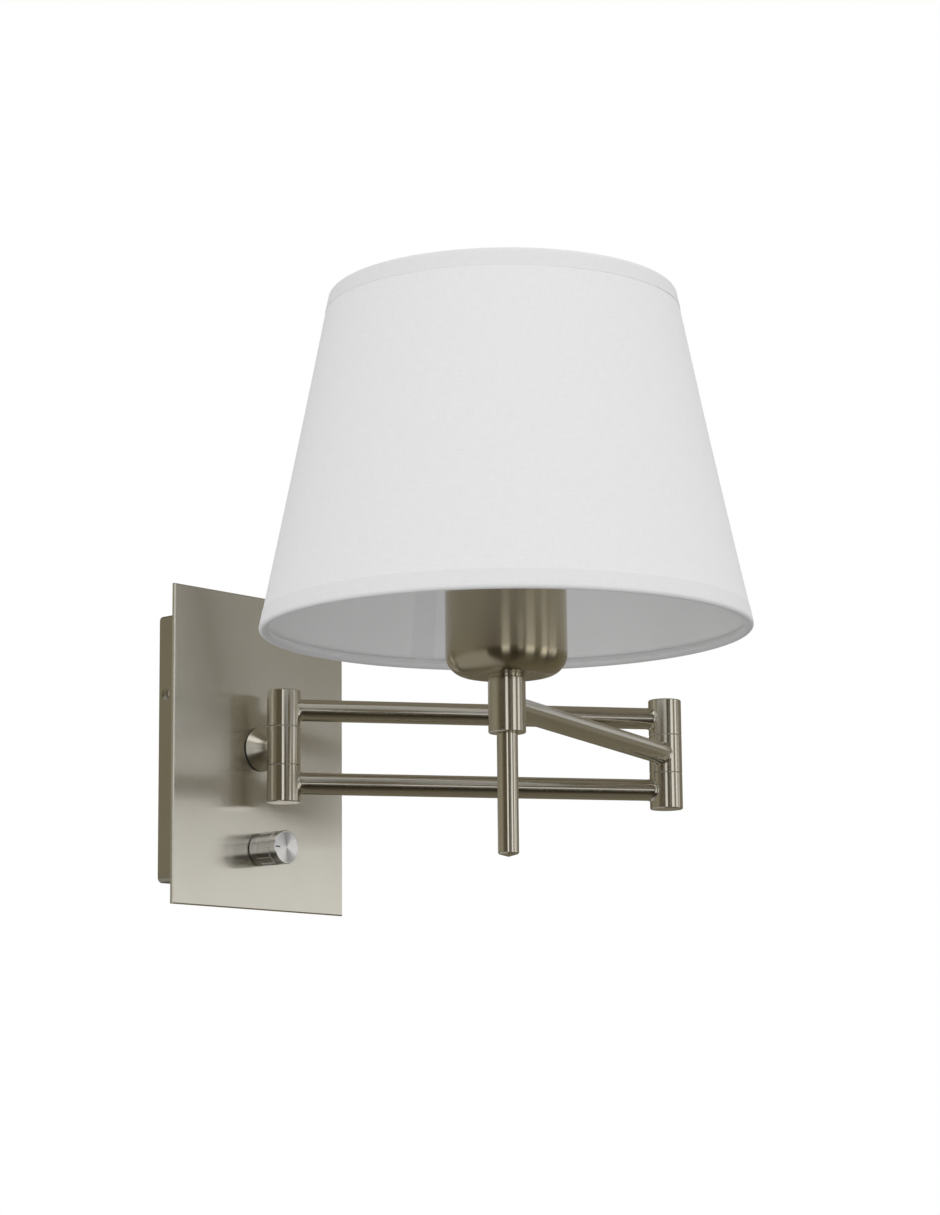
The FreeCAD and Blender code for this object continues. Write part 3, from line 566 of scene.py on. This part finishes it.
def shade_lining():
    profile = wall(LINING_INSET, LINING_T, LINING_MARGIN, LINING_STEPS)
    piece = ring_surface("shade_inner_lining", profile, MATERIALS["shade_lining"], SEAM_LAP)
    # the seam's faces take the darker, painted-shade lining
    piece.data.materials.append(MATERIALS["lining_lap"])
    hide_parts("shade_liner")
    return piece


def hem(name, edge_z, inward, node):
    """The turned-over hem: outer band, edge rolled round the wire, short inner band. inward is 1
    where the shade's wall is above the edge and -1 where it is below."""
    # (distance out from the wall, z) along the side of the cloth that lies on the cover, from its lip
    path = [(-HEM_DEPTH, edge_z + inward * HEM_W), (-HEM_DEPTH, edge_z + inward * (HEM_W - LIP_LOOP))]
    for s in range(1, HEM_STEPS + 1):
        path.append((-HEM_DEPTH, edge_z + inward * (HEM_W - (HEM_W - ROLL_R) * s / HEM_STEPS)))
    centre_z = edge_z + inward * ROLL_R
    for s in range(1, ROLL_STEPS):
        turn = math.pi * s / ROLL_STEPS
        offset = ROLL_R * math.cos(turn) - ROLL_R - HEM_DEPTH
        path.append((offset, centre_z - inward * ROLL_R * math.sin(turn)))
    rolled = -HEM_DEPTH - 2 * ROLL_R
    settled = -(LINING_INSET + LINING_T + HEM_BITE)
    for s in range(HEM_STEPS + 1):
        share = s / HEM_STEPS
        ease = share * share * (3 - 2 * share)
        path.append((rolled + (settled - rolled) * ease, centre_z + inward * (INNER_HEM - ROLL_R) * share))
    side = [Vector((shade_radius(z) + offset, z)) for offset, z in path]
    skin = [(point.x, point.y, 0.0, 0.0) for point in side]
    for i in reversed(range(len(side))):
        run = (side[min(i + 1, len(side) - 1)] - side[max(i - 1, 0)]).normalized()
        other = side[i] + Vector((-run.y, run.x)) * inward * HEM_CLOTH
        skin.append((other.x, other.y, 0.0, 0.0))
    piece = ring_surface(name, skin, MATERIALS["hem_linen"])
    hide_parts(node)
    return piece


cover = shade_cover()
lining = shade_lining()
top_hem = hem("shade_hem_upper", SHADE_TOP_Z, -1, "shade_hem_top")
bottom_hem = hem("shade_hem_lower", SHADE_BOTTOM_Z, 1, "shade_hem_bottom")


# ---------------------------------------------------------------- rods with their welds
ROD_SIDES = 96
# the weld fillet: (distance from the barrel, how far it stands above the rod)
WELD = ((0.0, 0.75 * MM), (0.25 * MM, 0.4 * MM), (0.6 * MM, 0.2 * MM), (1.0 * MM, 0.07 * MM), (1.5 * MM, 0.0))
WELD_BITE = 0.4 * MM
ROD_FROM = 4.0 * MM


def welded_rod(name, start_node, end_node, rod_node, material, body):
    """A level rod between two upright barrels, with a small weld fillet at both of them."""
    rod_low, rod_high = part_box(rod_node)
    rod_r = (rod_high.z - rod_low.z) / 2
    start, end = (Vector((*middle(node).xy, middle(rod_node).z)) for node in (start_node, end_node))
    along = (end - start).normalized()
    side = Vector((-along.y, along.x, 0.0))
    bm = bmesh.new()

    def ring(gap, flare, origin, barrel_r, towards):
        """One loop round the rod, gap away from the barrel's surface all the way round."""
        row = []
        for i in range(ROD_SIDES):
            turn = 2 * math.pi * i / ROD_SIDES
            across = (rod_r + flare) * math.cos(turn)
            reach = math.sqrt(max(barrel_r ** 2 - across ** 2, 0.0)) + gap
            lift = Vector((0.0, 0.0, (rod_r + flare) * math.sin(turn)))
            row.append(bm.verts.new(origin + towards * reach + side * across + lift))
        return row

    gaps = ((-WELD_BITE, WELD[0][1]), *WELD, (ROD_FROM, 0.0))
    rows = [ring(gap, flare, start, half_width(start_node), along) for gap, flare in gaps]
    rows += [ring(gap, flare, end, half_width(end_node), -along) for gap, flare in reversed(gaps)]
    join_rows(bm, rows, closed=False)
    bm.faces.new(rows[0])
    bm.faces.new(rows[-1])
    piece = add_piece(name, finished_mesh(name, bm), material, body)
    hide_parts(rod_node)


for level in ("upper", "lower"):
    welded_rod(f"welded_{level}_rod", f"hinge_1_{level}_knuckle", f"hinge_2_{level}_knuckle",
               f"arm_1_{level}_tube", nickel_rod_1, "arm_1")
welded_rod("welded_lamp_rod", "hinge_2_middle_knuckle", "lamp_sleeve", "arm_2_tube", nickel_rod_2, "lamp_arm")


# ---------------------------------------------------------------- stand-off
BOSS_SIDES = 128
BOSS_STEPS = 16
# the recessed ring under the base, whose faces are painted dark as a shadow line
BOSS_GROOVE_INSET = 0.35 * MM
BOSS_GROOVE_T = 0.95 * MM
BOSS_EDGE = 0.2 * MM
BOSS_CONE = 9.2 * MM
BOSS_NECK_R = 5.4 * MM
BOSS_HOLLOW = 1.3
BOSS_BITE = 0.4 * MM
BOSS_SHARP = math.radians(35.0)
STUD_R = 5.0 * MM
STUD_BORE_R = 3.2 * MM


def turned_boss():
    """The stand-off: a slightly hollow cone over a narrow recessed ring at the plate, whose faces are painted
    near black as a painted shadow line, and the bored stud that goes through plate and box."""
    low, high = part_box("hinge_boss")
    centre = middle("hinge_boss")
    plate_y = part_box("front_plate")[0].y
    base_r = half_width("hinge_boss")
    groove_r = base_r - BOSS_GROOVE_INSET
    groove_y = plate_y - BOSS_GROOVE_T
    cone_y = groove_y - 2 * BOSS_EDGE
    cone_end_y = plate_y - BOSS_CONE
    neck_y = low.y - BOSS_BITE
    # (radius, y) from the back end of the stud
    stud = [(STUD_BORE_R, high.y), (STUD_R, high.y), (STUD_R, plate_y)]
    groove = [(groove_r, plate_y), (groove_r, groove_y)]
    outline = stud + groove + [(base_r, groove_y - BOSS_EDGE)]
    for s in range(BOSS_STEPS + 1):
        share = s / BOSS_STEPS
        radius = BOSS_NECK_R + (base_r - BOSS_EDGE - BOSS_NECK_R) * (1 - share) ** BOSS_HOLLOW
        outline.append((radius, cone_y + (cone_end_y - cone_y) * share))
    outline += [(BOSS_NECK_R, neck_y), (STUD_BORE_R, neck_y)]
    bm = bmesh.new()
    turns = [2 * math.pi * i / BOSS_SIDES for i in range(BOSS_SIDES)]
    rows = [[bm.verts.new((centre.x + radius * math.cos(turn), y, centre.z + radius * math.sin(turn)))
             for turn in turns] for radius, y in outline]
    painted_shadow_spans = range(len(stud) - 1, len(stud) + len(groove) - 1)
    # the recessed ring's faces take the near-black painted shadow
    for face, _, j in join_rows(bm, rows):
        face.material_index = int(j in painted_shadow_spans)
    mesh = finished_mesh("turned_boss", bm)
    mesh.set_sharp_from_angle(angle=BOSS_SHARP)
    piece = add_piece("turned_boss", mesh, nickel_boss, "wall_unit")
    mesh.materials.append(boss_groove_painted_shadow)
    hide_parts("hinge_boss")


turned_boss()

# ---------------------------------------------------------------- floor, world and lights
FLOOR_Z = cad_low.z - 0.5
FLOOR_HALF = 12.0
# The studio that the metal mirrors. Azimuths are degrees round the lamp, counted from the camera
# towards its right; elevations are degrees above level.
SOFT_BOXES = (
    # from, to, lowest, highest, brightness
    (-8, 5, -22, 28, 1.0),
    (38, 54, -22, 24, 1.0),
    (71, 83, -22, 28, 1.0),
    (88, 107, -12, 6.1, 1.0),
    (-7, 4, -20, -7, 1.25),
    (39, 53, -20, -7, 1.5),
    (72, 82, -20, -7, 1.7),
    (22, 31, -8, 2.0, 0.9),
    (-150, -40, -90, -14, 0.42),
    (122, 155, 13, 24, 0.55),
    (-6, 17, 36, 60, 2.0),
)
WARM_PATCHES = (
    # from, to, lowest, highest, colour
    (122, 180, -60, -6, (0.195, 0.176, 0.13)),
    (-180, -165, -60, -6, (0.195, 0.176, 0.13)),
)
PATCH_SOFT_SIDES = 2.0
PATCH_SOFT_ENDS = 1.0
DIM_ROOM = (
    # azimuth, colour of the dim surroundings there
    (-180, (0.22, 0.20, 0.16)),
    (-140, (0.13, 0.115, 0.08)),
    (-105, (0.29, 0.27, 0.21)),
    (-72, (0.31, 0.29, 0.23)),
    (-55, (0.20, 0.175, 0.12)),
    (-44, (0.11, 0.09, 0.06)),
    (16, (0.09, 0.075, 0.05)),
    (30, (0.08, 0.065, 0.04)),
    (62, (0.28, 0.26, 0.21)),
    (84, (0.19, 0.17, 0.13)),
    (96, (0.125, 0.107, 0.07)),
    (108, (0.22, 0.20, 0.155)),
    (180, (0.22, 0.20, 0.16)),
)
ROOM_HEIGHTS = (
    # elevation, how bright the dim surroundings are there
    (-90, 0.75),
    (-50, 0.8),
    (-38, 0.4),
    (-15, 0.35),
    (-6, 1.0),
    (90, 1.0),
)
# The light that falls on everything matt: a sky above level, brighter on the right, and a weaker
# light below it, weakest on the right and straight down. FRONT_LIGHT is added on the camera's side
# and taken away behind the lamp.
SKY_LIGHT = 0.83
SKY_FROM, SKY_SOFT = 4.0, 8.0
RIGHT_LIFT = 0.5
LOW_LIGHT = 0.67
LOW_LIGHT_LEAN = 0.42
NADIR_LIGHT = 0.25
NADIR_TO, NADIR_SOFT = -60.0, 15.0
FRONT_LIGHT = 0.30
PAST_THE_POLES = 100.0
WHITE = (1.0, 1.0, 1.0, 1.0)


def make_floor():
    mesh = bpy.data.meshes.new("floor")
    corners = [(x * FLOOR_HALF, y * FLOOR_HALF, FLOOR_Z) for x, y in ((-1, -1), (1, -1), (1, 1), (-1, 1))]
    mesh.from_pydata(corners, [], [(0, 1, 2, 3)])
    floor = bpy.data.objects.new("floor", mesh)
    bpy.context.scene.collection.objects.link(floor)
    mesh.materials.append(Graph("pale_floor").finish(Base_Color=(0.82, 0.82, 0.82, 1.0), Roughness=0.9))
    floor.visible_glossy = False
    floor.visible_diffuse = False


class Studio(Nodes):
    """The world's nodes: white for the camera, even soft light for matt surfaces, and a dim studio
    with bright soft boxes for the metal to mirror."""

    def __init__(self, world):
        super().__init__(world.node_tree)
        place = self.node("ShaderNodeTexCoord")
        turned = self.node("ShaderNodeMapping")
        turned.inputs["Rotation"].default_value = (0, 0, CAMERA_YAW + math.pi / 2)
        self.link(place.outputs["Generated"], turned.inputs["Vector"])
        parts = self.parts(turned.outputs[0])
        self.front, self.side = parts["X"], parts["Y"]
        self.azimuth = self.degrees(self.math("ARCTAN2", self.side, self.front))
        self.height = self.degrees(self.math("ARCSINE", parts["Z"]))

    def degrees(self, angle):
        return self.math("MULTIPLY", angle, 180 / math.pi)

    def band(self, value, low, high, soft):
        """1 between low and high, falling to 0 over soft degrees outside."""
        rise = self.spread(value, low - soft, low, 0.0, 1.0, interpolation_type="SMOOTHSTEP")
        fall = self.spread(value, high + soft, high, 0.0, 1.0, interpolation_type="SMOOTHSTEP")
        return self.math("MULTIPLY", rise, fall)

    def patch(self, start, end, bottom, top):
        return self.math("MULTIPLY", self.band(self.azimuth, start, end, PATCH_SOFT_SIDES),
                         self.band(self.height, bottom, top, PATCH_SOFT_ENDS))

    def over(self, value, stops):
        """A colour ramp over degrees; its first and last stops are the ends of the scale."""
        low, high = stops[0][0], stops[-1][0]
        share = self.math("DIVIDE", self.math("SUBTRACT", value, low), high - low)
        return self.ramp(share, [((at - low) / (high - low), colour) for at, colour in stops])

    def mirrored(self):
        """What the metal mirrors."""
        boxes = None
        for *edges, power in SOFT_BOXES:
            patch = self.math("MULTIPLY", self.patch(*edges), power)
            boxes = patch if boxes is None else self.math("MAXIMUM", boxes, patch)
        for *edges, colour in WARM_PATCHES:
            patch = self.mix("MULTIPLY", 1.0, self.patch(*edges), (*colour, 1.0))
            boxes = self.mix("LIGHTEN", 1.0, boxes, patch)
        room = self.over(self.azimuth, DIM_ROOM)
        levels = self.over(self.height, [(at, (level, level, level)) for at, level in ROOM_HEIGHTS])
        return self.mix("LIGHTEN", 1.0, self.mix("MULTIPLY", 1.0, room, levels), boxes)

    def soft_light(self):
        """How strong the light on matt surfaces is."""
        above = self.band(self.height, SKY_FROM, PAST_THE_POLES, SKY_SOFT)
        rightward = self.math("MAXIMUM", self.math("MULTIPLY", self.side, RIGHT_LIFT), 0.0)
        sky = self.math("MULTIPLY", self.math("ADD", 1.0, rightward), SKY_LIGHT)
        lean = self.math("SUBTRACT", 1.0, self.math("MULTIPLY", self.side, LOW_LIGHT_LEAN))
        below = self.band(self.height, -PAST_THE_POLES, NADIR_TO, NADIR_SOFT)
        fade = self.math("SUBTRACT", 1.0, self.math("MULTIPLY", below, 1.0 - NADIR_LIGHT))
        low = self.math("MULTIPLY", self.math("MULTIPLY", lean, LOW_LIGHT), fade)
        dome = self.math("ADD", self.math("MULTIPLY", above, self.math("SUBTRACT", sky, low)), low)
        return self.math("ADD", dome, self.math("MULTIPLY", self.front, FRONT_LIGHT))

    def background(self, colour, strength):
        made = self.node("ShaderNodeBackground")
        self.feed((made.inputs["Color"], made.inputs["Strength"]), (colour, strength))
        return made.outputs[0]

    def choose(self, share, a, b):
        made = self.node("ShaderNodeMixShader")
        self.feed(made.inputs, (share, a, b))
        return made.outputs[0]

    def light(self):
        path = self.node("ShaderNodeLightPath").outputs
        unseen = self.choose(path["Is Glossy Ray"], self.background(WHITE, self.soft_light()),
                             self.background(self.mirrored(), 1.0))
        seen = self.choose(path["Is Camera Ray"], unseen, self.background(WHITE, 1.0))
        self.link(seen, self.node("ShaderNodeOutputWorld").inputs[0])


def light_studio():
    world = bpy.data.worlds.new("studio")
    bpy.context.scene.world = world
    world.use_nodes = True
    Studio(world).light()


make_floor()
light_studio()
bpy.context.scene.view_settings.view_transform = "Standard"
